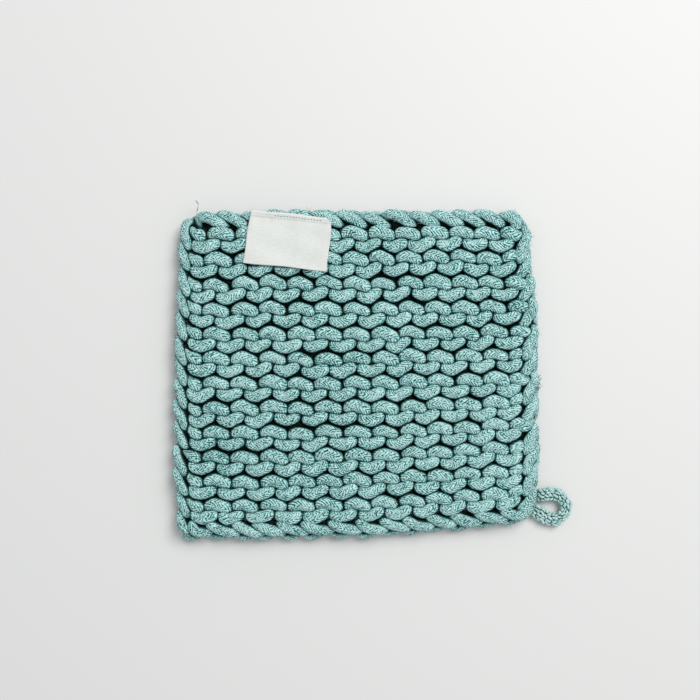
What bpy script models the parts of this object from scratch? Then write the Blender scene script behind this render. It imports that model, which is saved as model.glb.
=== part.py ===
"""A square pot holder hand-knitted in garter stitch from one thick cotton cord, lying flat face up.

The knitted square is one piece: twelve ridges of stitches on the face, a chained edge on all four sides.
A crocheted hanging loop is joined at one corner, and a blank cotton label is sewn along its top to the far edge.
Metres, +Z up. The origin is under the middle of the whole thing, loop included, on the surface that it lies on.
"""

import math

import bmesh
import bpy
from mathutils import Vector
from mathutils.geometry import interpolate_bezier

MM = 0.001

# The cord and the stitches that it makes
CORD = 6.3 * MM  # thickness of the soft cotton cord
STITCH = 15.2 * MM  # from one stitch to the next along a ridge
RIDGE = 13.36 * MM  # from one ridge to the next
STITCHES = 12  # low arcs in a ridge
RIDGES = 12
FACE_Z = 13.0 * MM  # crest of the ridges on the face
FACE_DIVE = 3.6 * MM  # how far an arc's ends go down into the knitting
FACE_HOLES = 6.0 * MM  # depth of the dark hollows beyond the middle of each arc
FACE_VALLEY = 3.0 * MM  # depth of the furrow between those hollows
FACE_SHIFT = 1.15 * MM  # the furrow swings to each side by this much, round the arcs
FACE_SEAM = 2.2 * MM  # depth of the line where the high arcs meet the low ones
ARCH = 2.3 * MM  # how much of an arc's rise shows from above
BACK_VALLEY = 2.6 * MM  # depth of the furrows on the back
BACK_CREST = 0.46  # share of a ridge's width that lies on the surface
BACK_WAVE = 1.3 * MM  # the back ridges weave from side to side by this much
FACE_STEPS = 4  # points along each stitch on the face
FACE_FLOOR = 4.0 * MM  # the face's half of the knitting goes down to here
BACK_CEILING = 6.0 * MM  # and the back's half goes up to here, so that the two are one
FACE_TUCK = (2.8 * MM, 7.0 * MM)  # the face's rim goes on this far inside the edge chain, down to this height
BACK_TUCK = (1.9 * MM, 3.0 * MM)

# The chained edge
EDGE = 9.8 * MM  # width of the edge chain, seen from above
EDGE_IN = 5.2 * MM  # its middle lies this far inside the outline
EDGE_HALF = (4.4 * MM, 5.3 * MM)  # half its width and half its height
EDGE_Z = 6.1 * MM
EDGE_LOW = 0.4 * MM  # the chain is just clear of the surface
EDGE_LOBE = 0.19  # how much each link swells
EDGE_SLANT = 1.5  # how far a link leans from the outside of the chain to its top, in radians of its pitch
EDGE_SIDES = 7
EDGE_STEPS = 4  # rings of points to each link
CORNER = 7.0 * MM  # radius of the chain's middle line at the corners
# Links along the top, the right side, the bottom and the left side, and which way each row of links leans
SIDES = (
    ("top", 14, 1),
    ("right", 13, 1),
    ("bottom", 13, 1),
    ("left", 13, -1),
)

# The square as it lies: its outline's corners and the middles of its sides, for a square of this size
WIDE = STITCHES * STITCH + 2 * EDGE
DEEP = RIDGES * RIDGE + 2 * EDGE
OUTLINE = {
    (-1, 1): (-104.5 * MM, 88.6 * MM),
    (0, 1): (-9.3 * MM, 90.4 * MM),
    (1, 1): (86.0 * MM, 90.2 * MM),
    (1, 0): (91.9 * MM, 2.0 * MM),
    (1, -1): (91.0 * MM, -80.2 * MM),
    (0, -1): (-7.6 * MM, -89.4 * MM),
    (-1, -1): (-106.0 * MM, -91.2 * MM),
    (-1, 0): (-109.4 * MM, -1.5 * MM),
}

# The hanging loop, a crocheted band bent into an eye that lies on the surface. Its line starts between the two
# ends, at the edge chain, and turns this way; its upper half goes through points given as (along, across).
LOOP_START = (90.7 * MM, -70.0 * MM)
LOOP_TURN = math.radians(-15)
LOOP_END = (0.0 * MM, 3.8 * MM)
LOOP_SIDE = (9.0 * MM, 6.8 * MM)
LOOP_TIP = (16.1 * MM, 0.0 * MM)
LOOP_CURVE = (3.2 * MM, 3.8 * MM)  # how long it keeps its direction after the end, and on each side of the others
LOOP_BAND = (3.4 * MM, 2.4 * MM)  # half its width and half its height
LOOP_TIP_BAND = 2.7 * MM  # half its width at the tip
LOOP_MIDDLE_Z = 3.0 * MM
LOOP_RIB = 0.08  # swelling of each crochet stitch
LOOP_STITCHES = 13
LOOP_STEPS = 4  # rings of points to each crochet stitch, an even number
LOOP_SIDES = 10

# The label, a folded strip of cotton tape
LABEL = (45.6 * MM, 29.4 * MM)
LABEL_THICK = 1.0 * MM
LABEL_CENTRE = (-45.1 * MM, 72.9 * MM)
LABEL_TURN = math.radians(-5.8)
LABEL_GAP = 0.3 * MM
LABEL_LIFT = (0.55 * MM, 0.35 * MM)  # its free edge stands off the stitches by this much, more or less along it
LABEL_SAG = 0.35 * MM  # and it dips this much between the ridges
LABEL_SKEW = 0.3  # of a ridge for each stitch along, as the label isn't quite square to the ridges
LABEL_STEPS = (14, 10)
LABEL_CLIP = 3.2 * MM  # one top corner is folded under


def clear_scene():
    for obj in list(bpy.data.objects):
        bpy.data.objects.remove(obj, do_unlink=True)


def material(name, colour, roughness):
    made = bpy.data.materials.new(name)
    made.use_nodes = True
    shader = made.node_tree.nodes["Principled BSDF"]
    shader.inputs["Base Color"].default_value = (*colour, 1.0)
    shader.inputs["Roughness"].default_value = roughness
    shader.inputs["Metallic"].default_value = 0.0
    return made


def as_object(name, bm, finish=None):
    """The bmesh as a named object, smooth where it is round."""
    bmesh.ops.recalc_face_normals(bm, faces=bm.faces)
    mesh = bpy.data.meshes.new(name)
    bm.to_mesh(mesh)
    bm.free()
    mesh.shade_smooth()
    mesh.set_sharp_from_angle(angle=math.radians(50))
    obj = bpy.data.objects.new(name, mesh)
    bpy.context.scene.collection.objects.link(obj)
    if finish:
        mesh.materials.append(finish)
    return obj


def laid(a, b):
    """Where a point of the true square, measured from its middle, lies in the real one's uneven outline."""
    p, q = a / (WIDE / 2), b / (DEEP / 2)
    x = y = 0.0
    for (i, j), (node_x, node_y) in OUTLINE.items():
        if i == 0:
            share = (1 - p * p) * (1 + q * j) / 2
        elif j == 0:
            share = (1 - q * q) * (1 + p * i) / 2
        else:
            share = (1 + p * i) * (1 + q * j) * (p * i + q * j - 1) / 4
        x += share * node_x
        y += share * node_y
    return x, y


def grid(columns, rows, place):
    """A sheet of points, each put where place(column, row) says."""
    bm = bmesh.new()
    bmesh.ops.create_grid(bm, x_segments=columns, y_segments=rows, size=1.0)
    for vert in bm.verts:
        column = round((vert.co.x + 1) / 2 * columns)
        row = round((vert.co.y + 1) / 2 * rows)
        vert.co = place(column, row)
    return bm


def half_square(columns, rows, point, tuck, level):
    """One side of the knitting, as a closed slab down or up to that level. Its rim goes on inside the edge chain."""

    def place(column, row):
        inner_column = min(max(column - 1, 0), columns)
        inner_row = min(max(row - 1, 0), rows)
        a, b, z = point(inner_column, inner_row)
        out_a = column - 1 - inner_column
        out_b = row - 1 - inner_row
        if out_a or out_b:
            z = tuck[1]
        return (*laid(a + tuck[0] * out_a, b + tuck[0] * out_b), z)

    bm = grid(columns + 2, rows + 2, place)
    rim = [edge for edge in bm.edges if edge.is_boundary]
    made = bmesh.ops.extrude_edge_only(bm, edges=rim)["geom"]
    for vert in (g for g in made if isinstance(g, bmesh.types.BMVert)):
        vert.co.z = level
    bmesh.ops.holes_fill(bm, edges=[g for g in made if isinstance(g, bmesh.types.BMEdge)])
    return bm


# ---- the knitted square ----


def face_point(column, row):
    """A point of the face. A ridge has four lines of points: the furrow above it, the crest of its high arcs,
    the seam below them, and the crest of its low arcs, which lie half a stitch along."""
    a = -STITCHES * STITCH / 2 + column * STITCH / FACE_STEPS
    ridge, line = divmod(RIDGES * 4 - row, 4)
    middle = (RIDGES / 2 - ridge - 0.5) * RIDGE
    swing = math.cos(math.tau * column / FACE_STEPS)
    off_high, off_low = (1 - swing) / 2, (1 + swing) / 2
    if line == 0:
        b, depth = RIDGE / 2 + FACE_SHIFT * swing, FACE_VALLEY + (FACE_HOLES - FACE_VALLEY) * swing**2
    elif line == 1:
        b, depth = (RIDGE - CORD) / 2 - ARCH * off_high, FACE_DIVE * off_high**2
    elif line == 2:
        b, depth = (RIDGE / 2 - CORD) * swing, FACE_SEAM
    else:
        b, depth = (CORD - RIDGE) / 2 + ARCH * off_low, FACE_DIVE * off_low**2
    return a, middle + b, FACE_Z - depth


def back_point(column, row):
    """A point of the back: flat-crested ridges that weave from side to side, half a ridge from the face's."""
    a = (column - STITCHES / 2) * STITCH
    ridge, line = divmod(row, 3)
    off = (0.0, (1 - BACK_CREST) / 2, (1 + BACK_CREST) / 2)[line]
    b = (ridge - RIDGES / 2 + off) * RIDGE
    if row not in (0, RIDGES * 3):
        b += BACK_WAVE * (-1) ** column
    return a, b, BACK_VALLEY if line == 0 else 0.0


def edge_line():
    """The edge chain's middle line in the true square, as (a, b, outward a, outward b, phase, lean) at each ring of
    points, round the square from its top left corner."""
    half_a, half_b = WIDE / 2 - EDGE_IN, DEEP / 2 - EDGE_IN
    points = []
    phase = 0.0
    for number, (_, links, lean) in enumerate(SIDES):
        turn = -number * math.pi / 2  # of the way along this side
        along, across = (half_a, half_b) if number % 2 == 0 else (half_b, half_a)
        straight = 2 * (along - CORNER)
        bend = CORNER * math.pi / 2
        steps = links * EDGE_STEPS
        for step in range(steps):
            far = step / steps * (straight + bend)
            if far < straight:
                s, t, out = far - straight / 2, across, math.pi / 2
            else:
                angle = (far - straight) / CORNER
                s = straight / 2 + CORNER * math.sin(angle)
                t = across - CORNER + CORNER * math.cos(angle)
                out = math.pi / 2 - angle
            a = s * math.cos(turn) - t * math.sin(turn)
            b = s * math.sin(turn) + t * math.cos(turn)
            points.append((a, b, math.cos(out + turn), math.sin(out + turn), phase, lean))
            phase += math.tau / EDGE_STEPS
    return points


EDGE_LINE = edge_line()


def edge_point(column, row):
    """A point of the edge chain, whose links swell and lean like the two sides of a V."""
    a, b, out_a, out_b, phase, lean = EDGE_LINE[row % len(EDGE_LINE)]
    angle = math.tau * column / EDGE_SIDES
    swell = 1 + EDGE_LOBE * math.cos(phase - lean * EDGE_SLANT * abs(math.sin(angle)))
    reach = EDGE_HALF[0] * swell * math.cos(angle)
    z = EDGE_Z + EDGE_HALF[1] * swell * math.sin(angle)
    return (*laid(a + out_a * reach, b + out_b * reach), max(z, EDGE_LOW))


def joined(base, other):
    """Fuses a helper into the base, which stays one solid."""
    other.hide_render = True
    other.display_type = "WIRE"
    union = base.modifiers.new("fused_with_" + other.name, "BOOLEAN")
    union.operation = "UNION"
    union.solver = "EXACT"
    union.object = other


def knitted_square(finish):
    face = half_square(STITCHES * FACE_STEPS, RIDGES * 4, face_point, FACE_TUCK, FACE_FLOOR)
    square = as_object("knitted_square", face, finish)
    back = half_square(STITCHES, RIDGES * 3, back_point, BACK_TUCK, BACK_CEILING)
    joined(square, as_object("back_of_square", back))
    edge = grid(EDGE_SIDES, len(EDGE_LINE), edge_point)
    bmesh.ops.remove_doubles(edge, verts=edge.verts, dist=0.01 * MM)
    joined(square, as_object("edge_of_square", edge))


# ---- the hanging loop ----


def loop_line():
    """The band's middle line as (along, across) at each ring of points, from its upper end round to its lower one."""
    end, side, tip = Vector(LOOP_END), Vector(LOOP_SIDE), Vector(LOOP_TIP)
    leave, bend = LOOP_CURVE
    steps = LOOP_STITCHES * LOOP_STEPS // 4
    along, across = Vector((1, 0)), Vector((0, 1))
    upper = interpolate_bezier(end, end + along * leave, side - along * bend, side, steps + 1)[:-1]
    upper += interpolate_bezier(side, side + along * bend, tip + across * bend, tip, steps + 1)
    return upper + [Vector((point.x, -point.y)) for point in reversed(upper[:-1])]


LOOP_LINE = loop_line()


def loop_point(column, row):
    """A point of the band, ribbed by its crochet stitches, flat underneath and narrower at the tip."""
    here = LOOP_LINE[row]
    before, after = LOOP_LINE[max(row - 1, 0)], LOOP_LINE[min(row + 1, len(LOOP_LINE) - 1)]
    ahead = (after - before).normalized()
    out = Vector((-ahead.y, ahead.x))
    angle = math.tau * column / LOOP_SIDES
    rib = 1 + LOOP_RIB * math.cos(math.tau * row / LOOP_STEPS - 2 * abs(math.sin(angle)))
    half_width = LOOP_BAND[0] + (LOOP_TIP_BAND - LOOP_BAND[0]) * (here.x / LOOP_TIP[0]) ** 2
    spot = here + out * half_width * rib * math.cos(angle)
    x = LOOP_START[0] + spot.x * math.cos(LOOP_TURN) - spot.y * math.sin(LOOP_TURN)
    y = LOOP_START[1] + spot.x * math.sin(LOOP_TURN) + spot.y * math.cos(LOOP_TURN)
    return x, y, max(LOOP_MIDDLE_Z + LOOP_BAND[1] * rib * math.sin(angle), EDGE_LOW)


def hanging_loop(finish):
    band = grid(LOOP_SIDES, len(LOOP_LINE) - 1, loop_point)
    bmesh.ops.remove_doubles(band, verts=band.verts, dist=0.01 * MM)
    bmesh.ops.holes_fill(band, edges=[edge for edge in band.edges if edge.is_boundary])
    as_object("hanging_loop", band, finish)


# ---- the label ----


def label_point(column, row):
    """A point of the label's underside. It lies on the crests, a little slack between them, and its free edge lifts."""
    s = (column / LABEL_STEPS[0] - 0.5) * LABEL[0]
    t = (row / LABEL_STEPS[1] - 0.5) * LABEL[1]
    clipped = s + t - (LABEL[0] + LABEL[1]) / 2 + LABEL_CLIP
    if clipped > 0:
        s -= clipped / 2
        t -= clipped / 2
    x = LABEL_CENTRE[0] + s * math.cos(LABEL_TURN) - t * math.sin(LABEL_TURN)
    y = LABEL_CENTRE[1] + s * math.sin(LABEL_TURN) + t * math.cos(LABEL_TURN)
    down = 1 - row / LABEL_STEPS[1]
    slack = LABEL_SAG * (1 + math.cos(math.tau * (t / RIDGE + LABEL_SKEW * s / STITCH))) / 2
    lift = (LABEL_LIFT[0] + LABEL_LIFT[1] * math.cos(math.tau * s / LABEL[0])) * down**3
    return x, y, FACE_Z + LABEL_GAP + slack + lift


def label(finish):
    sheet = grid(LABEL_STEPS[0], LABEL_STEPS[1], label_point)
    obj = as_object("label", sheet, finish)
    thick = obj.modifiers.new("tape", "SOLIDIFY")
    thick.thickness = LABEL_THICK
    thick.offset = 1.0
    return obj


clear_scene()
COTTON = material("aqua_cotton", (0.27, 0.46, 0.44), 0.95)
TAPE = material("cream_tape", (0.80, 0.79, 0.74), 0.85)
knitted_square(COTTON)
hanging_loop(COTTON)
label(TAPE)
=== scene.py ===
import math

import bmesh
import bpy
import numpy as np
from mathutils import Matrix, Vector
from mathutils.geometry import interpolate_bezier


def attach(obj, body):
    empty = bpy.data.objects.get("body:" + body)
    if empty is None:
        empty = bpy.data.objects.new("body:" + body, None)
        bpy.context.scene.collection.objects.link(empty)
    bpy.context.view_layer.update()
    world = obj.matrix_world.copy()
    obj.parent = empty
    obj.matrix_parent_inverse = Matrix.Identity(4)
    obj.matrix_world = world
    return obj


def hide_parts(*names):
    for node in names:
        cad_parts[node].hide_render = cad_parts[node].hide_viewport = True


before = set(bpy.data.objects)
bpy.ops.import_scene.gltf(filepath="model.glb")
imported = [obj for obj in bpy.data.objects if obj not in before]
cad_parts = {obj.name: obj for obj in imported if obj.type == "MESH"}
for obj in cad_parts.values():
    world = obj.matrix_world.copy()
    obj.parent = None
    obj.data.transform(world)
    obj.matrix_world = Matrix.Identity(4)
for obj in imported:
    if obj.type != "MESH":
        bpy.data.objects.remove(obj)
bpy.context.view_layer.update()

MM = 0.001
scene = bpy.context.scene
chance = np.random.default_rng(11)

# ---- the knitting ----
# One length of thick, soft cotton tube cord, hand-knitted in garter stitch: 24 rows of 13 stitches. Two rows
# make a ridge, in which the high arcs of one lock into the low arcs of the next. Here each row is looped
# through the one below it in a true square. Further down the cords settle against each other.

CORD = 6.4 * MM
STITCH = 15.2 * MM
RIDGE = 13.36 * MM
ROWS = 24
OUTER = 6  # the middle stitch is number 0, the last ones are this number
HALF_THICK = 4.6 * MM  # from the knitting's middle to the middle of the cord on its crests, unpressed
TOP_ARC = 69.6 * MM  # how far below the middle the lowest row's high arcs are
# Half a stitch, from the middle of its low arc to the top of its high arc: across and along the square from
# the top of the high arc, in mm, the height as a share of HALF_THICK and the thickness as a share of CORD
HALF_STITCH = (
    (7.6, -15.0, -1.00, 1.00),
    (5.7, -14.1, -1.00, 0.97),
    (4.1, -12.4, -0.90, 0.92),
    (3.2, -10.7, -0.60, 0.78),
    (2.8, -9.6, -0.20, 0.57),
    (2.6, -8.7, 0.00, 0.49),
    (2.9, -7.4, 0.06, 0.49),
    (3.8, -5.8, 0.22, 0.57),
    (4.6, -4.3, 0.60, 0.78),
    (4.2, -2.5, 0.92, 0.92),
    (2.4, -0.8, 1.00, 0.98),
    (0.0, 0.0, 1.00, 1.00),
)
# Where a row starts at the left edge and ends at the right one, from the top of its outer high arc
LEFT_END = (
    (-3.0, 4.6, -0.40, 0.46),
    (-2.0, 3.6, 0.00, 0.52),
    (-0.6, 1.9, 0.55, 0.64),
    (1.0, -0.3, 0.90, 0.80),
)
RIGHT_END = (
    (2.3, 0.1, 0.74, 0.84),
    (3.9, -0.2, 0.16, 0.64),
    (5.2, -0.2, -0.35, 0.50),
)
HIGH_LEAN = 0.24  # how steeply the high arcs in front fall to the right
LOW_LEAN = 0.34  # how steeply the low arcs in front rise to the right
LOW_FROM = -0.3  # the height below which a point belongs to the low arc
STEP = 1.9 * MM  # between two points of the cord's line
TURN = 2.2 * MM  # how far the cord's turn between two rows goes out
# How much the stitches differ, as standard deviations
OFF_ACROSS = 0.50 * MM
OFF_ALONG = 0.45 * MM
HIGH_LEAN_OFF = 0.08
LOW_LEAN_OFF = 0.09
BULK_OFF = 0.04
ARCH_OFF = 0.07
# How far a stitch is drawn out of place with its own row, at 0, and with the rows below and above it
ROW_SHARES = {-2: 0.16, -1: 0.41, 0: 0.66, 1: 0.41, 2: 0.16}


def smooth_line(points, per):
    """A smooth line through rows of (x, y, z, thickness), with so many steps between two of them."""
    points = np.asarray(points, float)
    ends = np.vstack([2 * points[0] - points[1], points, 2 * points[-1] - points[-2]])
    a, b, c, d = ends[:-3, None], ends[1:-2, None], ends[2:-1, None], ends[3:, None]
    t = np.linspace(0, 1, per, endpoint=False)[None, :, None]
    line = (2 * b + (c - a) * t + (2 * a - 5 * b + 4 * c - d) * t**2 + (3 * b - a - 3 * c + d) * t**3) / 2
    return np.vstack([line.reshape(-1, points.shape[1]), points[-1:]])


def run_along(line):
    """How far along the line each of its points is."""
    return np.concatenate([[0], np.cumsum(np.linalg.norm(np.diff(line[:, :3], axis=0), axis=1))])


def even_steps(line, step):
    """The same line with points about this far apart."""
    far = run_along(line)
    at = np.linspace(0, far[-1], max(round(far[-1] / step), 2) + 1)
    return np.column_stack([np.interp(at, far, column) for column in line.T])


def uneven(spread):
    """How far each stitch of each row lies out of place, the ones above and below it partly with it."""
    rough = chance.normal(0, 1, (ROWS + 4, 2 * OUTER + 5))
    soft = sum(np.roll(rough, by, 0) * share for by, share in ROW_SHARES.items())[2:-2, 2:-2]
    return soft * spread / soft.std()


stitch_x, stitch_y = uneven(OFF_ACROSS), uneven(OFF_ALONG)


def row_of_stitches(number):
    """A row's line, from the cord's turn inside one side edge to its turn inside the other."""
    in_front = 1 if number % 2 == 0 else -1  # whether its high arcs are on the face, or its low ones
    top = number * RIDGE / 2 - TOP_ARC
    points = []
    for stitch in range(-OUTER, OUTER + 1):
        high_lean = HIGH_LEAN + chance.normal(0, HIGH_LEAN_OFF)
        low_lean = LOW_LEAN + chance.normal(0, LOW_LEAN_OFF)
        bulk, arch = chance.normal(1, BULK_OFF), chance.normal(0, ARCH_OFF)
        left = [(-x, y, z, thick) for x, y, z, thick in HALF_STITCH]
        right = HALF_STITCH[-2::-1]
        if stitch == -OUTER:
            left = LEFT_END
        if stitch == OUTER:
            right = RIGHT_END
        for x, y, z, thick in (*left, *right):
            if in_front > 0 and z > 0:
                y -= z * (high_lean * x + arch * abs(x))
            if in_front < 0 and z < LOW_FROM:
                from_low = x - math.copysign(HALF_STITCH[0][0], x)
                y -= z * (low_lean * from_low + arch * abs(from_low))
            place_x = stitch * STITCH + x * MM + stitch_x[number, stitch + OUTER]
            place_y = top + y * MM + stitch_y[number, stitch + OUTER]
            points.append((place_x, place_y, z * HALF_THICK * in_front, thick * bulk * CORD))
        if stitch < OUTER:
            points.pop()  # the next stitch starts with this point
    return points if in_front > 0 else points[::-1]


rows = [row_of_stitches(number) for number in range(ROWS)]
for lower, upper in zip(rows, rows[1:]):
    turn = (np.array(lower[-1]) + np.array(upper[0])) / 2
    turn[0] += math.copysign(TURN, turn[0])
    lower.append(tuple(turn))
    upper.insert(0, tuple(turn))
rows[-1] = rows[-1][:-2]  # the last row's end stays under the corner
rows = [even_steps(smooth_line(row, 6), STEP) for row in rows]
row_starts = np.concatenate([[0], np.cumsum([len(row) - 1 for row in rows])])
knitting = np.vstack([rows[0], *(row[1:] for row in rows[1:])])

# ---- the chained edge ----
# All four sides end in a chain of the same cord: each link comes up through the one before it, its two legs
# one above the other and the upper one leaning inwards. One chain runs from the top left corner round by the
# right to the bottom left one, and a second one goes down the left side and round the corner there.

EDGE = 9.8 * MM  # from the last stitches' middle to the outline
EDGE_IN = 5.2 * MM  # from the outline to the chain's middle line
LEFT_IN = 0.9 * MM  # how much closer to the knitting it is on the left side
EDGE_CORD = 5.6 * MM
LEFT_CORD = 5.0 * MM  # it is drawn tighter there
CORNER = 7.0 * MM  # the radius in which the chains turn
TIGHT_CORNER = 4.0 * MM  # the radius at the bottom left
CORNER_STEPS = 9
WIDE = 2 * OUTER * STITCH + 2 * EDGE
DEEP = ROWS / 2 * RIDGE + 2 * EDGE
TOP, RIGHT, FOOT, LEFT = range(4)
# A link, from where it comes up through the one before: along it in links, then outwards and upwards in
# thicknesses of the cord on the top, right, bottom and left edges, and its thickness
LINK = (
    (0.00, (-0.35, -0.10), (-0.25, 0.00), (-0.40, -0.10), (-0.10, -0.05), 0.60),
    (0.06, (0.16, 0.10), (0.20, 0.12), (0.05, 0.12), (0.24, 0.06), 0.84),
    (0.26, (0.34, 0.42), (0.16, 0.50), (0.14, 0.44), (0.28, 0.38), 0.98),
    (0.60, (0.12, 0.70), (-0.08, 0.74), (-0.02, 0.72), (0.12, 0.68), 1.00),
    (0.90, (-0.26, 0.76), (-0.36, 0.82), (-0.26, 0.78), (-0.12, 0.80), 1.00),
    (1.14, (-0.62, 0.62), (-0.64, 0.74), (-0.54, 0.68), (-0.34, 0.72), 0.92),
    (1.28, (-0.78, 0.25), (-0.80, 0.36), (-0.72, 0.28), (-0.52, 0.30), 0.68),
    (1.30, (-0.55, -0.12), (-0.75, -0.06), (-0.50, -0.10), (-0.66, -0.06), 0.55),
    (1.16, (-0.15, -0.48), (0.20, -0.40), (0.56, -0.42), (0.14, -0.48), 0.75),
    (0.88, (0.10, -0.68), (0.38, -0.50), (0.68, -0.52), (0.28, -0.70), 0.92),
    (0.50, (0.22, -0.68), (0.40, -0.50), (0.34, -0.60), (0.30, -0.72), 0.92),
    (0.20, (0.10, -0.48), (0.30, -0.40), (0.00, -0.48), (0.16, -0.48), 0.72),
    (0.18, (-0.45, -0.30), (-0.50, -0.30), (-0.45, -0.30), (-0.50, -0.30), 0.50),
    (0.55, (-0.75, -0.08), (-0.78, -0.10), (-0.75, -0.08), (-0.78, -0.10), 0.50),
    (0.86, (-0.62, 0.00), (-0.75, 0.00), (-0.62, 0.00), (-0.60, 0.02), 0.50),
)
LINK_BACK = 9  # the points of a link from this one on run back below its upper leg
FIRST_BACK = 0.5  # the first link has none before it to turn under, so it comes back only this far
HIDDEN_END = (-0.9, -0.5)  # outwards and upwards, where the cord's end lies hidden below
LINK_STEP = 0.3  # between two points of the chain's line, in thicknesses of the cord


def chain(walk, links, cord, form_at, spread):
    """A chain's line. walk(share) gives a place on its middle line, the way outwards and the way up."""
    points = []
    for link in range(links):
        push = chance.normal(0, spread, 3)
        for number, (along, *forms, thick) in enumerate(LINK):
            if link == 0 and number >= LINK_BACK:
                along = max(along, FIRST_BACK)
            share = (link + along + push[0]) / links
            place, outwards, upwards = walk(share)
            out, up = (np.interp(form_at(share), range(4), column) for column in zip(*forms))
            if link == 0 and number == 0:
                out, up = HIDDEN_END
            out, up = out + push[1], up + push[2]
            spot = np.array(place) + (np.array(outwards) * out + np.array(upwards) * up) * cord
            points.append((*spot, thick * cord))
    return even_steps(smooth_line(points, 5), cord * LINK_STEP)


def around(*corners):
    """A walk round corners, each with its two sides, the outward angles before and after it and a radius."""
    path = []
    for side_x, side_y, before, after, radius in corners:
        side_in = EDGE_IN + (LEFT_IN if side_x < 0 else 0)
        for angle in np.radians(np.linspace(before, after, CORNER_STEPS)):
            x = side_x * (WIDE / 2 - side_in - radius) + radius * math.cos(angle)
            y = side_y * (DEEP / 2 - EDGE_IN - radius) + radius * math.sin(angle)
            path.append((x, y, angle))
    path = np.array(path)
    far = np.concatenate([[0], np.cumsum(np.linalg.norm(np.diff(path[:, :2], axis=0), axis=1))])

    def walk(share):
        x, y, angle = (np.interp(share * far[-1], far, column) for column in path.T)
        return (x, y, 0), (math.cos(angle), math.sin(angle), 0), (0, 0, 1)

    return walk


round_walk = around(
    (-1, 1, 114, 90, CORNER),
    (1, 1, 90, 0, CORNER),
    (1, -1, 0, -90, CORNER),
    (-1, -1, -90, -112, TIGHT_CORNER),
)
left_walk = around((-1, 1, 128, 180, CORNER), (-1, -1, 180, 256, TIGHT_CORNER))
FORM_CHANGES = (0.33, 0.38, 0.64, 0.69)  # shares of the way round between which the chain changes its form
ROUND_LINKS = 40
LEFT_LINKS = 14
LINKS_OFF = 0.07  # how much the links differ, in thicknesses of the cord


def round_form(share):
    """The chain's form at a share of the way round: the top's, then the right side's, then the foot's."""
    return np.interp(share, FORM_CHANGES, (TOP, RIGHT, RIGHT, FOOT))


edges = [
    chain(round_walk, ROUND_LINKS, EDGE_CORD, round_form, LINKS_OFF),
    chain(left_walk, LEFT_LINKS, LEFT_CORD, lambda share: LEFT, LINKS_OFF),
]

# ---- how the cords settle ----
# They keep their length and bend softly, push each other apart where they would share a place, and lie
# between two flat surfaces, as the real knitting was pressed. Then the square gets its uneven outline.

SOFT = 0.86  # how close two cords come, as a share of their thickness
CEILING = HALF_THICK * 1.04  # how far from the knitting's middle a cord's may get
UNDERSIDE = CORD * 0.625  # from the middle of the lowest cords down to the surface
PRESSED = 0.775  # how flat the cord is pressed
ROUNDS = 90
SEARCH_EVERY = 12  # rounds between two searches for the places where cords are close
SEARCH_REACH = 0.8 * MM  # how far from meeting they may be to be found
SEARCH_BLOCK = 256  # how many points are compared with their neighbours at a time
SAME_STRETCH = 5  # points of one cord this few steps apart don't push each other
# How much of each is put right in a round
DRAWN_BACK = 0.05  # to where the cord was knitted
STRAIGHTENED = 0.15
STRETCH_EASED = 0.24
OVERLAP_EASED = 0.7
BAND_ROWS = 6  # how many rows a piece of the knitting has
# The square as it lies: the corners of its outline and the middles of its sides
OUTLINE = {
    (-1, 1): (-105.6 * MM, 89.2 * MM),
    (0, 1): (-9.3 * MM, 90.5 * MM),
    (1, 1): (85.2 * MM, 89.5 * MM),
    (1, 0): (91.9 * MM, 2.0 * MM),
    (1, -1): (90.2 * MM, -80.3 * MM),
    (0, -1): (-7.6 * MM, -88.9 * MM),
    (-1, -1): (-108.2 * MM, -90.3 * MM),
    (-1, 0): (-109.6 * MM, -1.5 * MM),
}


def close_pairs(spots, half, owner, reach, skip):
    """The pairs of points nearer than their cords and the reach allow, but for neighbours on one cord."""
    order = np.argsort(spots[:, 1], kind="stable")
    level = spots[order, 1]
    furthest = 2 * half.max() + reach
    ones, others = [], []
    for begin in range(0, len(spots), SEARCH_BLOCK):
        end = min(begin + SEARCH_BLOCK, len(spots))
        limit = np.searchsorted(level, level[end - 1] + furthest)
        a, b = order[begin:end], order[begin:limit]
        apart = ((spots[a][:, None] - spots[b][None]) ** 2).sum(2)
        i, j = np.nonzero(apart < (half[a][:, None] + half[b][None] + reach) ** 2)
        kept = (j > i) & ((owner[a[i]] != owner[b[j]]) | (abs(a[i] - b[j]) > skip))
        ones.append(a[i][kept])
        others.append(b[j][kept])
    return np.concatenate(ones), np.concatenate(others)


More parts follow.
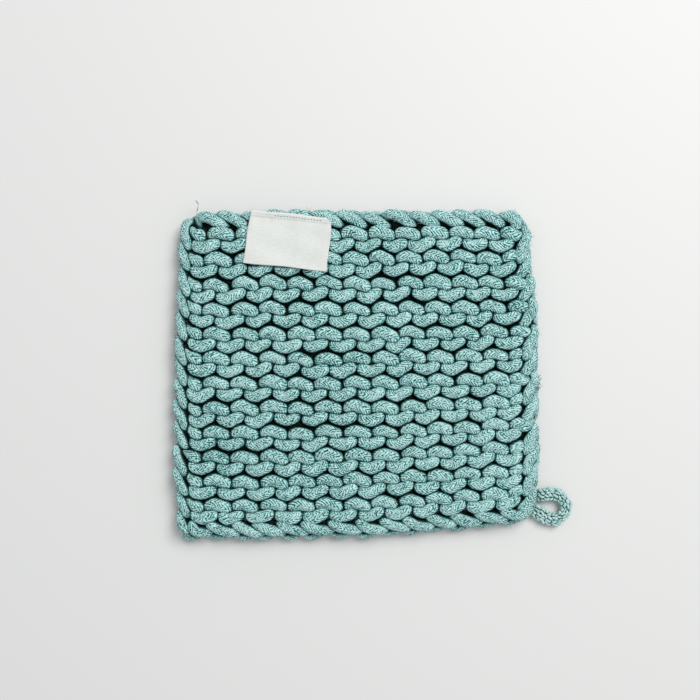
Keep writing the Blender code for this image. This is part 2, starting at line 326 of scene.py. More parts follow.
def settled(lines, rounds, ceiling):
    """The lines after their cords have pushed each other apart."""
    start = np.vstack([line[:, :3] for line in lines])
    half = np.concatenate([line[:, 3] for line in lines]) / 2
    owner = np.repeat(np.arange(len(lines)), [len(line) for line in lines])
    count = len(start)
    now = start.copy()
    first = np.nonzero(owner[1:] == owner[:-1])[0]
    second = first + 1
    inner = first[1:][first[1:] == second[:-1]]
    rest = np.linalg.norm(now[second] - now[first], axis=1)
    for number in range(rounds):
        if number % SEARCH_EVERY == 0:
            one, other = close_pairs(now, half * SOFT, owner, SEARCH_REACH, SAME_STRETCH)
            touch = (half[one] + half[other]) * SOFT
        now += DRAWN_BACK * (start - now)
        now[inner] += STRAIGHTENED * ((now[inner - 1] + now[inner + 1]) / 2 - now[inner])
        step = now[second] - now[first]
        far = np.linalg.norm(step, axis=1)
        stretch = (STRETCH_EASED * (far - rest) / far)[:, None] * step
        step = now[one] - now[other]
        far = np.linalg.norm(step, axis=1)
        meet = touch > far
        a, b = one[meet], other[meet]
        overlap = OVERLAP_EASED * (touch - far)[meet]
        push = (overlap / np.maximum(far[meet], 0.01 * MM))[:, None] * step[meet]
        share = np.maximum(np.bincount(a, minlength=count) + np.bincount(b, minlength=count), 1)
        for axis in range(3):
            now[:, axis] += np.bincount(first, stretch[:, axis], count)
            now[:, axis] -= np.bincount(second, stretch[:, axis], count)
            shove = np.bincount(a, push[:, axis], count) - np.bincount(b, push[:, axis], count)
            now[:, axis] += shove / share
        now[:, 2] = np.clip(now[:, 2], -ceiling, ceiling)
    return np.split(np.column_stack([now, 2 * half]), np.cumsum([len(line) for line in lines])[:-1])


def laid(line):
    """A line of the true square as it lies in the outline, above the surface, before it is pressed."""
    p, q = line[:, 0] / (WIDE / 2), line[:, 1] / (DEEP / 2)
    x = y = 0.0
    for (i, j), (node_x, node_y) in OUTLINE.items():
        if i == 0:
            share = (1 - p * p) * (1 + q * j) / 2
        elif j == 0:
            share = (1 - q * q) * (1 + p * i) / 2
        else:
            share = (1 + p * i) * (1 + q * j) * (p * i + q * j - 1) / 4
        x = x + share * node_x
        y = y + share * node_y
    return np.column_stack([x, y, line[:, 2] + CEILING + UNDERSIDE, line[:, 3]])


knitting, *edges = settled([knitting, *edges], ROUNDS, CEILING)
bands = [knitting[row_starts[row] : row_starts[row + BAND_ROWS] + 1] for row in range(0, ROWS, BAND_ROWS)]

# ---- the cord itself ----
# A soft knitted cotton tube: fine strands in V shapes all along it, a little hairy. Its colour holds painted
# light:
# painted highlights on its strands and hairs, painted shade in the grooves between the strands, and nearly
# black green painted shade where two cords meet. The square is one cord, so its pieces share one finish.

SIDES = 16
SHADE_REACH = 9 * MM  # how far a cord still shades another
SHADE_APART = 7  # points of one cord this few steps apart don't shade each other
SHADE_NEAREST = 0.8  # in half thicknesses of the other cord: none counts as nearer
SHADE_PARTS = 32  # the shade is worked out in so many parts, each of which fits in memory
LUMPS = 0.035  # how uneven the cord's wall is, as a share of its radius
FULL = 1.09  # how much thicker the cord looks than where it is pressed


def curve_mesh(lines, sides, capped=False):
    """Round cords along lines of (x, y, z, thickness), as one mesh."""
    curve = bpy.data.curves.new("cord", "CURVE")
    curve.dimensions = "3D"
    curve.bevel_depth = 1.0
    curve.bevel_resolution = sides // 2 - 2
    curve.use_fill_caps = capped
    for line in lines:
        spline = curve.splines.new("POLY")
        spline.points.add(len(line) - 1)
        spline.points.foreach_set("co", np.column_stack([line[:, :3], np.ones(len(line))]).ravel())
        spline.points.foreach_set("radius", line[:, 3] / 2)
    holder = bpy.data.objects.new("cord", curve)
    scene.collection.objects.link(holder)
    mesh = bpy.data.meshes.new_from_object(holder, depsgraph=bpy.context.evaluated_depsgraph_get())
    bpy.data.objects.remove(holder)
    return mesh


def tube(line):
    """A cord's mesh, without its ends, and its wall as rings of points."""
    mesh = curve_mesh([line], SIDES)
    wall = np.empty(len(mesh.vertices) * 3)
    mesh.vertices.foreach_get("co", wall)
    return mesh, wall.reshape(len(line), SIDES, 3)


# This measure sets the painted shade that darkens the cords' colour where they hide each other.
def shaded(lines, walls, reach):
    """How much of what each point of the walls faces is other cord: 0 is none, 1 or more is nearly all."""
    centre = np.vstack([line[:, :3] for line in lines])
    half = np.concatenate([line[:, 3] for line in lines]) / 2
    length = np.concatenate([np.gradient(run_along(line)) for line in lines])
    owner = np.repeat(np.arange(len(lines)), [len(line) for line in lines])
    one, other = close_pairs(centre, half * 0, owner, reach, SHADE_APART)
    one, other = np.concatenate([one, other]), np.concatenate([other, one])
    order = np.argsort(one, kind="stable")
    one, other = one[order], other[order]
    wall = np.vstack(walls)
    outwards = (wall - centre[:, None]) / half[:, None, None]
    total = np.zeros(wall.shape[:2])
    for part in np.array_split(np.arange(len(one)), SHADE_PARTS):
        a, b = one[part], other[part]
        away = centre[b][:, None] - wall[a]
        far = np.maximum(np.linalg.norm(away, axis=2), SHADE_NEAREST * half[b][:, None])
        facing = np.maximum((away * outwards[a]).sum(2), 0) / far
        covered = facing * (length[b] * half[b] * 2)[:, None] / (math.pi * far**2)
        starts = np.concatenate([[0], np.nonzero(np.diff(a))[0] + 1])
        total[a[starts]] += np.add.reduceat(covered, starts, axis=0)
    return np.split(total, np.cumsum([len(line) for line in lines])[:-1])


def new_piece(name, mesh, finish):
    """An object of this mesh, smooth and all in one finish."""
    mesh.name = name
    mesh.materials.clear()
    mesh.materials.append(finish)
    mesh.shade_smooth()
    piece = bpy.data.objects.new(name, mesh)
    scene.collection.objects.link(piece)
    return piece


def cord_piece(name, lines, tubes, pressed, finish):
    """Cords as one mesh. Its UV map holds the metres along the cord and the share of the way round it."""
    together = bmesh.new()
    spots, sides, far = [], [], []
    for line, (mesh, wall) in zip(lines, tubes):
        together.from_mesh(mesh)
        bpy.data.meshes.remove(mesh)
        lumps = chance.normal(0, 1, (len(line), SIDES))
        for by in (1, 1, 2):
            lumps = (lumps + np.roll(lumps, by, 0) + np.roll(lumps, -by, 0)) / 3
            lumps = (lumps + np.roll(lumps, by, 1) + np.roll(lumps, -by, 1)) / 3
        lumps *= LUMPS / lumps.std()
        middle = line[:, None, :3]
        spots.append((middle + (wall - middle) * (1 + lumps[:, :, None])).reshape(-1, 3))
        far.append(np.repeat(run_along(line) + chance.uniform(0, 0.5), SIDES))
        sides.append(np.tile(np.arange(SIDES), len(line)))
    bmesh.ops.holes_fill(together, edges=[edge for edge in together.edges if edge.is_boundary])
    bmesh.ops.recalc_face_normals(together, faces=together.faces)
    mesh = bpy.data.meshes.new(name)
    together.to_mesh(mesh)
    together.free()
    spots, sides, far = np.vstack(spots), np.concatenate(sides), np.concatenate(far)
    spots[:, 2] *= pressed
    mesh.vertices.foreach_set("co", spots.ravel())
    corner_vertex = np.empty(len(mesh.loops), np.int32)
    mesh.loops.foreach_get("vertex_index", corner_vertex)
    starts = np.empty(len(mesh.polygons), np.int32)
    mesh.polygons.foreach_get("loop_start", starts)
    side = sides[corner_vertex]
    widest = np.repeat(np.maximum.reduceat(side, starts), np.diff(np.append(starts, len(side))))
    side = side + SIDES * ((widest - side > SIDES / 2) & (side < SIDES / 2))
    while mesh.uv_layers:
        mesh.uv_layers.remove(mesh.uv_layers[0])
    layer = mesh.uv_layers.new(name="UVMap")
    layer.uv.foreach_set("vector", np.column_stack([far[corner_vertex], side / SIDES]).ravel())
    return new_piece(name, mesh, finish)


def new_finish(name, roughness):
    """A material of this roughness, with its nodes and its shader."""
    finish = bpy.data.materials.new(name)
    finish.use_nodes = True
    shader = finish.node_tree.nodes["Principled BSDF"]
    shader.inputs["Roughness"].default_value = roughness
    return finish, finish.node_tree, shader


def add_node(tree, kind, **settings):
    """A new node with these settings."""
    node = tree.nodes.new(kind)
    for name, value in settings.items():
        setattr(node, name, value)
    return node


def calculate(tree, operation, *values):
    """A Math node's output. A value is a number or another node's output."""
    node = add_node(tree, "ShaderNodeMath", operation=operation)
    for socket, value in zip(node.inputs, values):
        if isinstance(value, (int, float)):
            socket.default_value = value
        else:
            tree.links.new(value, socket)
    return node.outputs[0]


def noise(tree, where, scale, detail=2, rough=0.5):
    """A noise from 0 to 1, read at the place that it is given."""
    node = add_node(tree, "ShaderNodeTexNoise")
    node.inputs["Scale"].default_value = scale
    node.inputs["Detail"].default_value = detail
    node.inputs["Roughness"].default_value = rough
    tree.links.new(where, node.inputs["Vector"])
    return node.outputs["Fac"]


def in_space(tree):
    """Where each point is, in the object's own space."""
    return add_node(tree, "ShaderNodeTexCoord").outputs["Object"]


def colours(tree, value, *stops):
    """A value's colour, between stops that each have a position and a colour."""
    ramp = add_node(tree, "ShaderNodeValToRGB")
    first, last = ramp.color_ramp.elements
    first.position, first.color = stops[0][0], (*stops[0][1], 1)
    last.position, last.color = stops[-1][0], (*stops[-1][1], 1)
    for position, colour in stops[1:-1]:
        ramp.color_ramp.elements.new(position).color = (*colour, 1)
    tree.links.new(value, ramp.inputs["Fac"])
    return ramp.outputs["Color"]


def raise_surface(tree, shader, height, relief):
    """Gives the shader a surface as uneven as the height, of this relief in metres."""
    bump = add_node(tree, "ShaderNodeBump")
    bump.inputs["Distance"].default_value = relief
    tree.links.new(height, bump.inputs["Height"])
    tree.links.new(bump.outputs["Normal"], shader.inputs["Normal"])


# The fine knit of the cord's own wall
V_RISE = 1.7  # how many stitches each leg of a V rises
GROOVE = 1.5  # how narrow the grooves between the strands are
LEG_ENDS = 4  # how sharply a leg sinks at its two ends
LEG_SWELL = 0.45  # how much of its height it loses there
COLUMN_WANDER, ROW_WANDER = 0.5, 0.9  # how much unevenness moves the columns and the stitches


def knit_tube_group():
    """The V stitches of a fine knitted tube, from the metres along it and the share of the way round it."""
    group = bpy.data.node_groups.new("knit_tube", "ShaderNodeTree")
    for name, value in (("Along", 0), ("Round", 0), ("Columns", 4), ("Stitch", 1.9 * MM), ("Uneven", 0)):
        socket = group.interface.new_socket(name, in_out="INPUT", socket_type="NodeSocketFloat")
        socket.default_value = value
    for name in ("Height", "Strand", "Own"):
        group.interface.new_socket(name, in_out="OUTPUT", socket_type="NodeSocketFloat")
    given = group.nodes.new("NodeGroupInput").outputs
    result = group.nodes.new("NodeGroupOutput").inputs
    column = calculate(group, "MULTIPLY", given["Round"], given["Columns"])
    column = calculate(group, "MULTIPLY_ADD", given["Uneven"], COLUMN_WANDER, column)
    across = calculate(group, "MULTIPLY", calculate(group, "PINGPONG", column, 0.5), 2)
    run = calculate(group, "DIVIDE", given["Along"], given["Stitch"])
    run = calculate(group, "MULTIPLY_ADD", given["Uneven"], ROW_WANDER, run)
    run = calculate(group, "MULTIPLY_ADD", across, V_RISE, run)
    off_middle = calculate(group, "SUBTRACT", calculate(group, "FRACT", run), 0.5)
    off_middle = calculate(group, "MULTIPLY", calculate(group, "ABSOLUTE", off_middle), 2)
    strand = calculate(group, "SUBTRACT", 1, calculate(group, "POWER", off_middle, GROOVE))
    off_leg = calculate(group, "ABSOLUTE", calculate(group, "SUBTRACT", across, 0.5))
    off_leg = calculate(group, "MULTIPLY", off_leg, 2)
    leg = calculate(group, "SUBTRACT", 1, calculate(group, "POWER", off_leg, LEG_ENDS))
    swell = calculate(group, "MULTIPLY_ADD", leg, LEG_SWELL, 1 - LEG_SWELL)
    cell = add_node(group, "ShaderNodeCombineXYZ")
    group.links.new(calculate(group, "FLOOR", run), cell.inputs[0])
    group.links.new(calculate(group, "FLOOR", calculate(group, "MULTIPLY", column, 2)), cell.inputs[1])
    own = add_node(group, "ShaderNodeTexWhiteNoise", noise_dimensions="2D")
    group.links.new(cell.outputs[0], own.inputs["Vector"])
    group.links.new(calculate(group, "MULTIPLY", strand, swell), result["Height"])
    group.links.new(strand, result["Strand"])
    group.links.new(own.outputs["Value"], result["Own"])
    return group


KNIT_TUBE = knit_tube_group()
WANDER_SCALE, WANDER = 260, 0.9  # how closely the stitches wander, and how far
PATCH_SCALE, PATCH_TONE = 35, 0.45  # how close the cotton's broad patches are, and their tone
OWN_TONE = 0.45  # how much each stitch has a tone of its own
# The hairs' tone is partly the fuzz's real unevenness and partly painted light: bright glints and dark
# specks.
HAIR_LIGHT, HAIR_HEIGHT = 4.0, 0.7  # how much its hairs show
DYE_AND_LIGHT_AT = (0.20, 0.47, 0.76, 1.0)  # the tones at which the four colours stand, from painted groove shade through the dye to painted highlight
# Painted shade: the share of the colour that is left where so much of the view is other cord, down to nearly
# black green where two cords meet
PAINTED_CREASE_SHADE = ((0.18, (1, 1, 1)), (0.34, (0.060, 0.350, 0.332)), (0.51, (0.001, 0.020, 0.018)))


def cotton_finish(name, columns, stitch, relief, hairs, dye_and_painted_light):
    """Dyed cotton, knitted into a fine tube or spun into yarn, with its stitches' size in metres, and
    painted light and shade in its colour.
    """
    finish, tree, shader = new_finish(name, 0.92)
    shader.inputs["Specular IOR Level"].default_value = 0.08
    shader.inputs["Sheen Weight"].default_value = 0.08
    shader.inputs["Sheen Roughness"].default_value = 0.45
    shader.inputs["Sheen Tint"].default_value = (0.80, 1.0, 0.98, 1)
    where = in_space(tree)
    on_cord = add_node(tree, "ShaderNodeSeparateXYZ")
    tree.links.new(add_node(tree, "ShaderNodeUVMap", uv_map="UVMap").outputs["UV"], on_cord.inputs[0])

    def ups_and_downs(scale, detail=2, rough=0.5):
        """A noise about nought."""
        return calculate(tree, "SUBTRACT", noise(tree, where, scale, detail, rough), 0.5)

    knit = add_node(tree, "ShaderNodeGroup", node_tree=KNIT_TUBE)
    knit.inputs["Columns"].default_value = columns
    knit.inputs["Stitch"].default_value = stitch
    tree.links.new(on_cord.outputs[0], knit.inputs["Along"])
    tree.links.new(on_cord.outputs[1], knit.inputs["Round"])
    tree.links.new(calculate(tree, "MULTIPLY", ups_and_downs(WANDER_SCALE), WANDER), knit.inputs["Uneven"])
    # Partly painted light: the strands' raised middles get a pale painted highlight, the grooves between
    # them painted shade, the hair noise painted glints; each stitch's own tone and the broad patches are the
    # cotton's real unevenness.
    hair = ups_and_downs(hairs, 3, 0.7)
    tone = calculate(tree, "MULTIPLY_ADD", knit.outputs["Own"], OWN_TONE, knit.outputs["Strand"])
    tone = calculate(tree, "MULTIPLY_ADD", hair, HAIR_LIGHT, tone)
    tone = calculate(tree, "MULTIPLY_ADD", ups_and_downs(PATCH_SCALE), PATCH_TONE, tone)
    # Painted shade: the colour is multiplied darker the more of a point's view is other cord, in the creases
    # where cords meet.
    hidden = add_node(tree, "ShaderNodeAttribute", attribute_name="shaded").outputs["Fac"]
    deep = add_node(tree, "ShaderNodeMix", data_type="RGBA", blend_type="MULTIPLY")
    deep.inputs["Factor"].default_value = 1
    tree.links.new(colours(tree, tone, *zip(DYE_AND_LIGHT_AT, dye_and_painted_light)), deep.inputs["A"])
    tree.links.new(colours(tree, hidden, *PAINTED_CREASE_SHADE), deep.inputs["B"])
    tree.links.new(deep.outputs["Result"], shader.inputs["Base Color"])
    height = calculate(tree, "MULTIPLY_ADD", hair, HAIR_HEIGHT, knit.outputs["Height"])
    raise_surface(tree, shader, height, relief)
    return finish


def cord_pieces(groups, reach, pressed, finish, node):
    """Each group of cords as a piece in the node's place, its wall's shade kept as an attribute."""
    tubes = {name: [tube(line) for line in lines] for name, lines in groups.items()}
    lines = [line for group in groups.values() for line in group]
    shades = shaded(lines, [wall for pairs in tubes.values() for mesh, wall in pairs], reach)
    for name, group in groups.items():
        piece = cord_piece(name, group, tubes[name], pressed, finish)
        shade = np.concatenate([shades.pop(0).ravel() for line in group])
        piece.data.attributes.new("shaded", "FLOAT", "POINT").data.foreach_set("value", shade)
        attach(piece, "root")
        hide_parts(node)


# Darkest to palest: painted shade in the grooves, the dyed cotton in the middle two, painted highlight on
# strands and hairs at the top.
cord_dye_and_painted_light = ((0.004, 0.070, 0.066), (0.055, 0.310, 0.295), (0.285, 0.620, 0.605), (0.58, 0.85, 0.84))
cord_finish = cotton_finish(
    "aqua_cotton_cord", columns=4, stitch=1.6 * MM, relief=0.6 * MM, hairs=1050, dye_and_painted_light=cord_dye_and_painted_light
)
groups = {f"knitting_rows_{number + 1}": [band] for number, band in enumerate(bands)}
groups |= {"chained_edge_round": edges[:1], "chained_edge_left": edges[1:]}
for name, lines in groups.items():
    groups[name] = [smooth_line(laid(line), 2) * (1, 1, 1, FULL) for line in lines]
cord_pieces(groups, SHADE_REACH, PRESSED, cord_finish, "knitted_square")

# ---- the hanging loop ----
# A band crocheted from a thinner cotton yarn of the same colour, in four chains side by side all round it.
# It is bent into a teardrop eye, and its two ends are worked into the chained edge at the lower right.

LOOP_YARN = 1.55 * MM
YARN_IN = 0.7 * LOOP_YARN  # from the outside of the band to the middle lines of its chains
LOOP_START = Vector((90.8, -70.8)) * MM
LOOP_TURN = math.radians(-15)
# Half of the eye's outline, before it is turned: where the band ends, its widest place and its tip
LOOP_END, LOOP_SIDE, LOOP_TIP = Vector((0, 4.5)) * MM, Vector((9.2, 7.0)) * MM, Vector((16.7, 0)) * MM
LOOP_LEAVE, LOOP_BEND = Vector((3.2, 0)) * MM, 4.0 * MM  # the curve's handles at the first and at the others
LOOP_BAND = (3.8 * MM, 2.5 * MM)  # half its width and half its height
LOOP_TIP_BAND = 3.0 * MM  # half its width at the tip
LOOP_CEILING = LOOP_BAND[1] - 0.4 * LOOP_YARN  # how far its yarn stays from the middle of the band
LOOP_MIDDLE = 3.0 * MM  # above the surface
LOOP_STEP = 0.5 * MM
LOOP_LINKS = 15
LOOP_LINKS_OFF = 0.13
LOOP_ROUNDS = 30
LOOP_SHADE_REACH = 2.0 * MM
CHAIN_ANGLES = (90, 8, 172, 270)

bend_x, bend_y = Vector((LOOP_BEND, 0)), Vector((0, LOOP_BEND))
half_loop = interpolate_bezier(LOOP_END, LOOP_END + LOOP_LEAVE, LOOP_SIDE - bend_x, LOOP_SIDE, 12)[:-1]
half_loop += interpolate_bezier(LOOP_SIDE, LOOP_SIDE + bend_x, LOOP_TIP + bend_y, LOOP_TIP, 12)
loop_line = np.array([(*point, 0, 1) for point in half_loop])
loop_line = even_steps(np.vstack([loop_line, loop_line[-2::-1] * (1, -1, 1, 1)]), LOOP_STEP)
loop_ahead = np.gradient(loop_line[:, :2], axis=0)
loop_ahead /= np.linalg.norm(loop_ahead, axis=1)[:, None]


def round_band(angle):
    """A walk along the loop's band, at so many degrees round its section from its outer edge."""
    at = np.linspace(0, 1, len(loop_line))
    across, over = math.cos(math.radians(angle)), math.sin(math.radians(angle))

    def walk(share):
        x, y = (np.interp(share, at, column) for column in loop_line[:, :2].T)
        ahead = np.array([np.interp(share, at, column) for column in loop_ahead.T])
        half_width = LOOP_BAND[0] + (LOOP_TIP_BAND - LOOP_BAND[0]) * (x / LOOP_TIP.x) ** 2 - YARN_IN
        half_height = LOOP_BAND[1] - YARN_IN
        side = np.array((-ahead[1], ahead[0], 0))
        normal = np.array((across / half_width, over / half_height))
        normal /= np.linalg.norm(normal)
        place = np.array((x, y, 0)) + side * half_width * across + np.array((0, 0, half_height * over))
        up = np.array((0, 0, 1))
        return place, side * normal[0] + up * normal[1], up * normal[0] - side * normal[1]

    return walk


loop_chains = [
    chain(round_band(angle), LOOP_LINKS, LOOP_YARN, lambda share: LEFT, LOOP_LINKS_OFF)
    for angle in CHAIN_ANGLES
]
loop_chains = settled(loop_chains, LOOP_ROUNDS, LOOP_CEILING)
turned = np.array([[math.cos(LOOP_TURN), math.sin(LOOP_TURN)], [-math.sin(LOOP_TURN), math.cos(LOOP_TURN)]])
for line in loop_chains:
    line[:, :2] = line[:, :2] @ turned + np.array(LOOP_START)
    line[:, 2] += LOOP_MIDDLE
# Darkest to palest: painted shade in the grooves, the dyed yarn in the middle two, painted highlight on
# strands and hairs at the top.
yarn_dye_and_painted_light = ((0.012, 0.120, 0.114), (0.125, 0.420, 0.400), (0.420, 0.715, 0.690), (0.72, 0.91, 0.89))
yarn_finish = cotton_finish(
    "aqua_cotton_yarn", columns=2, stitch=0.8 * MM, relief=0.15 * MM, hairs=2000, dye_and_painted_light=yarn_dye_and_painted_light
)
cord_pieces({"crocheted_loop": loop_chains}, LOOP_SHADE_REACH, 1, yarn_finish, "hanging_loop")

# ---- the label ----
# A strip of cream cotton tape with a fine weave, folded under along its top and sewn to the knitting with a
# running stitch just below the fold. Its other sides are free, and its right top corner is cut away.

LABEL = (44.8 * MM, 28.8 * MM)
LABEL_CENTRE = Vector((-44.9, 72.2)) * MM
LABEL_TURN = math.radians(-5.9)
LABEL_ON = 13.35 * MM  # the height of its underside where it lies on the stitches
TAPE = 0.34 * MM
WARP, WEFT = 0.42 * MM, 0.50 * MM  # from thread to thread
CELL = (0.6 * MM, 0.42 * MM)  # the mesh's cells, across and along the tape
FOLD = 0.36 * MM  # the radius of the fold
FOLD_RUN = 2.2 * CELL[1]  # how much of the tape the fold takes
HEM = 6 * CELL[1]  # how much of it is folded under
HEM_SLOPE = 1.2 * MM  # how far below the running stitch the tape has come down from the hem
CLIP = 2.5 * MM  # how much of the right top corner is cut away
SEAM = 1.9 * MM  # from the fold down to the running stitch
SEAM_STITCH = 1.67 * MM
SEAM_FROM, SEAM_TO = -9.2 * MM, 17.0 * MM
SEAM_DRAWN = 0.30 * MM  # how deep the seam lies in the tape
SEAM_PUCKER = 0.15 * MM  # and how much deeper between its stitches
SEAM_WIDE = 0.45 * MM
# How high the tape lies over the furrows, at its free end and in its waves, and how wavy its edges are
OVER_FURROWS = 0.30 * MM
FREE_END = 0.50 * MM
FREE_WAVE = 0.40 * MM
WAVE = 0.10 * MM
SIDE_WAVE = 0.22 * MM
FOOT_WAVE = 0.20 * MM
SPLAY = 0.05  # how far its left edge slants outwards towards its foot


def on_label(across, down, lift=0.0):
    """A place on the label: across from its middle, down from its fold and above where its tape lies."""
    up, share = LABEL[1] / 2 - down, across / LABEL[0]
    slack = OVER_FURROWS * (1 + math.cos(math.tau * (up / RIDGE + 0.3 * across / STITCH))) / 2
    free = (down / LABEL[1]) ** 3 * (FREE_END + FREE_WAVE * math.cos(math.tau * share + 0.5))
    wave = WAVE * math.sin(across / (4.3 * MM) + 1.3 * math.sin(up / (7 * MM)))
    side = SIDE_WAVE * math.sin(up / (3.6 * MM) + 0.8) * 2 * share + SPLAY * up * (0.5 - share)
    foot = FOOT_WAVE * math.sin(across / (5.1 * MM) + 1.5) * (2 * abs(up) / LABEL[1]) ** 4
    place = Vector((across + side, up + foot))
    place.rotate(Matrix.Rotation(LABEL_TURN, 2))
    return *(place + LABEL_CENTRE), LABEL_ON + slack + free + wave + lift


cut_deep = LABEL[1] + HEM
columns, rows_down = round(LABEL[0] / CELL[0]), round(cut_deep / CELL[1])
bm = bmesh.new()
bmesh.ops.create_grid(bm, x_segments=columns, y_segments=rows_down, size=0.5)
for vert in bm.verts:
    vert.co = (vert.co.x * LABEL[0], (vert.co.y + 0.5) * cut_deep, 0)
clip_from = (LABEL[0] / 2 - CLIP, LABEL[1], 0)
for on_face, cut in ((True, (1, 1, 0)), (False, (1, -1, 0))):
    part = [face for face in bm.faces if (face.calc_center_median().y < LABEL[1]) == on_face]
    part = list({item for face in part for item in (face, *face.edges, *face.verts)})
    bmesh.ops.bisect_plane(
        bm, geom=part, dist=0.001 * MM, plane_co=clip_from, plane_no=cut, clear_outer=True
    )
weave_place = bm.loops.layers.uv.new("UVMap")
for face in bm.faces:
    for loop in face.loops:
        loop[weave_place].uv = loop.vert.co.xy
for vert in bm.verts:
    across, run = vert.co.x, vert.co.y
    down = abs(LABEL[1] - run)
    turned_up = min(1, max(0, (LABEL[1] + FOLD_RUN / 2 - run) / FOLD_RUN))
    over_hem = 1 - min(1, max(0, (down - SEAM) / HEM_SLOPE)) ** 2
    lift = 2 * FOLD * turned_up * over_hem
    if turned_up == 1:
        drawn = math.exp(-(((down - SEAM) / SEAM_WIDE) ** 2))
        stitched = SEAM_FROM < across < SEAM_TO
        pucker = 0.5 + 0.5 * math.cos(math.tau * (across - SEAM_FROM) / SEAM_STITCH)
        lift -= drawn * (SEAM_DRAWN + SEAM_PUCKER * pucker * stitched)
    vert.co = on_label(across, down, lift)
bmesh.ops.recalc_face_normals(bm, faces=bm.faces)
mesh = bpy.data.meshes.new("label_tape")
bm.to_mesh(mesh)
bm.free()

tape, tree, shader = new_finish("cream_cotton_tape", 0.8)
shader.inputs["Specular IOR Level"].default_value = 0.3
shader.inputs["Sheen Weight"].default_value = 0.15
on_tape = add_node(tree, "ShaderNodeUVMap", uv_map="UVMap").outputs["UV"]
ways = add_node(tree, "ShaderNodeSeparateXYZ")
tree.links.new(on_tape, ways.inputs[0])
warp = calculate(tree, "SINE", calculate(tree, "MULTIPLY", ways.outputs[0], math.tau / WARP))
weft = calculate(tree, "SINE", calculate(tree, "MULTIPLY", ways.outputs[1], math.tau / WEFT))
weave = calculate(tree, "MULTIPLY", warp, weft)
stretched = add_node(tree, "ShaderNodeMapping")
stretched.inputs["Scale"].default_value = (350, 2400, 1)
tree.links.new(on_tape, stretched.inputs["Vector"])
slub = noise(tree, stretched.outputs[0], 1.0, 3)
tone = calculate(tree, "MULTIPLY_ADD", weave, 0.10, slub)
tone = calculate(tree, "MULTIPLY_ADD", noise(tree, in_space(tree), 90), 0.5, tone)
cream = colours(tree, tone, (0.35, (0.64, 0.66, 0.63)), (1.0, (0.82, 0.84, 0.81)))
tree.links.new(cream, shader.inputs["Base Color"])
raise_surface(tree, shader, calculate(tree, "MULTIPLY_ADD", slub, 2, weave), 0.05 * MM)

label = new_piece("label_tape", mesh, tape)
thick = label.modifiers.new("thick", "SOLIDIFY")
thick.thickness = TAPE
thick.offset = 0

SEAM_THREAD = 0.36 * MM
SEAM_SHOWS = 0.95 * MM  # how much of a stitch is on the face
SEAM_RISE = ((0, 0.10 * MM), (0.25, 0.62 * MM), (0.5, 0.70 * MM), (0.75, 0.62 * MM), (1, 0.10 * MM))
SEAM_OFF = 0.06 * MM  # how far its stitches stray from their line


def threads(name, lines, thickness, sides, finish):
    """Thin threads with closed ends, as one piece."""
    lines = [np.column_stack([line, np.full(len(line), thickness)]) for line in lines]
    return new_piece(name, curve_mesh(lines, sides, capped=True), finish)


# Painted shade: the seam's stitches are coloured near black to stand for the shadowed stitch holes along it.
thread, tree, shader = new_finish("seam_thread_painted_hole_shade", 0.7)
ply = noise(tree, in_space(tree), 3000)
thread_and_hole_shade = colours(tree, ply, (0.3, (0.035, 0.050, 0.050)), (0.7, (0.130, 0.160, 0.160)))
tree.links.new(thread_and_hole_shade, shader.inputs["Base Color"])
stitches = []
across = SEAM_FROM
while across < SEAM_TO:
    down = SEAM + chance.normal(0, 1) * SEAM_OFF
    stitches.append([on_label(across + at * SEAM_SHOWS, down, lift) for at, lift in SEAM_RISE])
    across += SEAM_STITCH
seam = threads("label_seam", stitches, SEAM_THREAD, 6, thread)
for piece in (label, seam):
    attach(piece, "root")
    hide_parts("label")

# ---- loose fibres ----
# Handled cotton grows a thin fuzz, most of all along the edges. A longer fibre stands out of the top left
# corner, and the cord is frayed at one place on the right side.

FIBRE = 0.11 * MM
FRAY = 3.5 * FIBRE
CURL = (0.2, 0.7)  # how far a fibre curls, in its own lengths
FUZZ_TOP = 14.6 * MM  # none stands higher than this
FUZZ_ENDS = 9  # how many of a line's points at its ends have none
FUZZ_OFF = 0.5  # how far a fibre strays from straight out of the cord
FUZZ_LENGTH = (0.7 * MM, 2.2 * MM)
FUZZ_COUNT, EDGE_FUZZ_COUNT = 90, 420  # on a piece of the knitting and on a chain of the edge
FRAY_AT = np.array((88.0, -3.6)) * MM
FRAY_REACH = 4.2 * MM
FRAY_COUNT = 60
FRAY_OFF = 0.7
FRAY_LENGTH = (0.8 * MM, 2.6 * MM)
FRAY_WAY = np.array((0.5, 1, 0.4))  # the frayed ends lie along the edge
# The longer fibre at the corner, in mm
CORNER_FIBRE = (
    (-94.6, 85.6, 7.0),
    (-95.0, 88.4, 8.6),
    (-94.2, 91.2, 9.3),
    (-94.2, 92.8, 9.2),
    (-95.6, 94.6, 9.0),
)
MIDDLE = np.array((-9.0, 0.0, 6.5)) * MM  # the square's

fuzz_finish, tree, shader = new_finish("aqua_fibres", 0.9)
dye = noise(tree, in_space(tree), 400)
dyed = colours(tree, dye, (0.45, (0.02, 0.11, 0.10)), (0.6, (0.45, 0.70, 0.68)))
tree.links.new(dyed, shader.inputs["Base Color"])


def fibre(root, way, length):
    """A thin fibre that curls away from its root."""
    way = np.array(way) / np.linalg.norm(way)
    curl = np.cross(way, chance.normal(0, 1, 3))
    curl /= np.linalg.norm(curl)
    shares = np.linspace(0, 1, 5)[:, None]
    line = np.array(root) + length * (shares * way + chance.uniform(*CURL) * shares**2 * curl)
    line[:, 2] = np.maximum(line[:, 2], 0.1 * MM)
    return line


def on_cord(line, at):
    """A place on the upper or outer side of the cord and the way out of it there."""
    middle = line[at, :3] * (1, 1, PRESSED)
    ahead = line[at + 1, :3] - line[at - 1, :3]
    out = middle - MIDDLE
    out[2] = abs(out[2]) * 4 + 4 * MM  # mostly upwards, never below
    out = np.cross(np.cross(ahead, out + chance.normal(0, 30 * MM, 3)), ahead)
    out /= np.linalg.norm(out)
    return middle + out * line[at, 3] / 2 * (1, 1, PRESSED) * 0.96, out


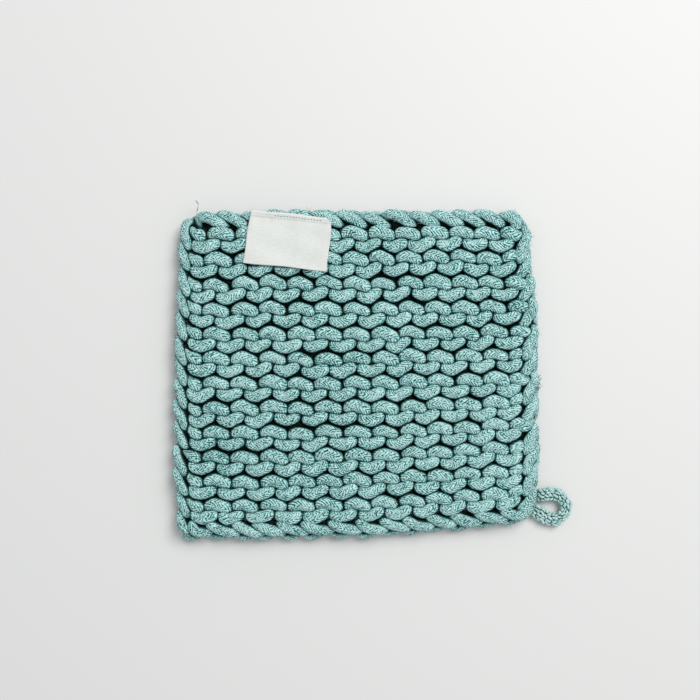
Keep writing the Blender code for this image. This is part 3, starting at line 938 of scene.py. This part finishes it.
fibres = []
for name, lines in groups.items():
    for line in lines:
        many = EDGE_FUZZ_COUNT if name.startswith("chained") else FUZZ_COUNT
        for at in chance.integers(FUZZ_ENDS, len(line) - FUZZ_ENDS, many):
            root, out = on_cord(line, at)
            way = out + chance.normal(0, FUZZ_OFF, 3)
            fibres.append(fibre(root, way, chance.uniform(*FUZZ_LENGTH)))
fibres = [line for line in fibres if line[:, 2].max() < FUZZ_TOP]
fray = [np.array(CORNER_FIBRE) * MM]
edge_line = groups["chained_edge_round"][0]
frayed_spot = np.linalg.norm(edge_line[:, :2] - FRAY_AT, axis=1) < FRAY_REACH
for at in chance.choice(np.nonzero(frayed_spot)[0], FRAY_COUNT):
    root, out = on_cord(edge_line, at)
    way = out * FRAY_WAY + chance.normal(0, FRAY_OFF, 3)
    fray.append(fibre(root, way, chance.uniform(*FRAY_LENGTH)))
fuzz = threads("loose_fibres", fibres, FIBRE, 4, fuzz_finish)
frayed = threads("frayed_cord_end", fray, FRAY, 6, fuzz_finish)
for piece in (fuzz, frayed):
    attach(piece, "root")

# ---- the studio ----
# A pale floor, one big soft light from the upper right and a bright room, with the camera straight above.

VIEW_WIDTH = 383 * MM
VIEW_CENTRE = (-11.5 * MM, 13.1 * MM)
VIEW_LEVEL = 6.5 * MM  # the height at which the view is that wide
FLOOR_SIDE = 6.0
camera = bpy.data.cameras.new("camera")
camera.lens = 50
camera.sensor_width = 36
overhead = bpy.data.objects.new("camera", camera)
overhead.location = (*VIEW_CENTRE, VIEW_WIDTH * camera.lens / camera.sensor_width + VIEW_LEVEL)
scene.collection.objects.link(overhead)
scene.camera = overhead

pale, tree, shader = new_finish("pale_floor", 0.6)
shader.inputs["Base Color"].default_value = (0.725, 0.725, 0.715, 1)
bm = bmesh.new()
bmesh.ops.create_grid(bm, x_segments=1, y_segments=1, size=FLOOR_SIDE / 2)
mesh = bpy.data.meshes.new("floor")
bm.to_mesh(mesh)
bm.free()
floor = new_piece("floor", mesh, pale)

world = bpy.data.worlds.new("room")
scene.world = world
world.use_nodes = True
world.node_tree.nodes["Background"].inputs["Color"].default_value = (0.95, 0.98, 1.0, 1)
world.node_tree.nodes["Background"].inputs["Strength"].default_value = 0.55
window = bpy.data.lights.new("window", "AREA")
window.size = 1.0
window.energy = 27
window.color = (1.0, 0.99, 0.97)
lamp = bpy.data.objects.new("window", window)
lamp.location = (0.70, 0.85, 1.5)
lamp.rotation_euler = (-lamp.location).to_track_quat("-Z", "Y").to_euler()
scene.collection.objects.link(lamp)
scene.view_settings.view_transform = "Standard"
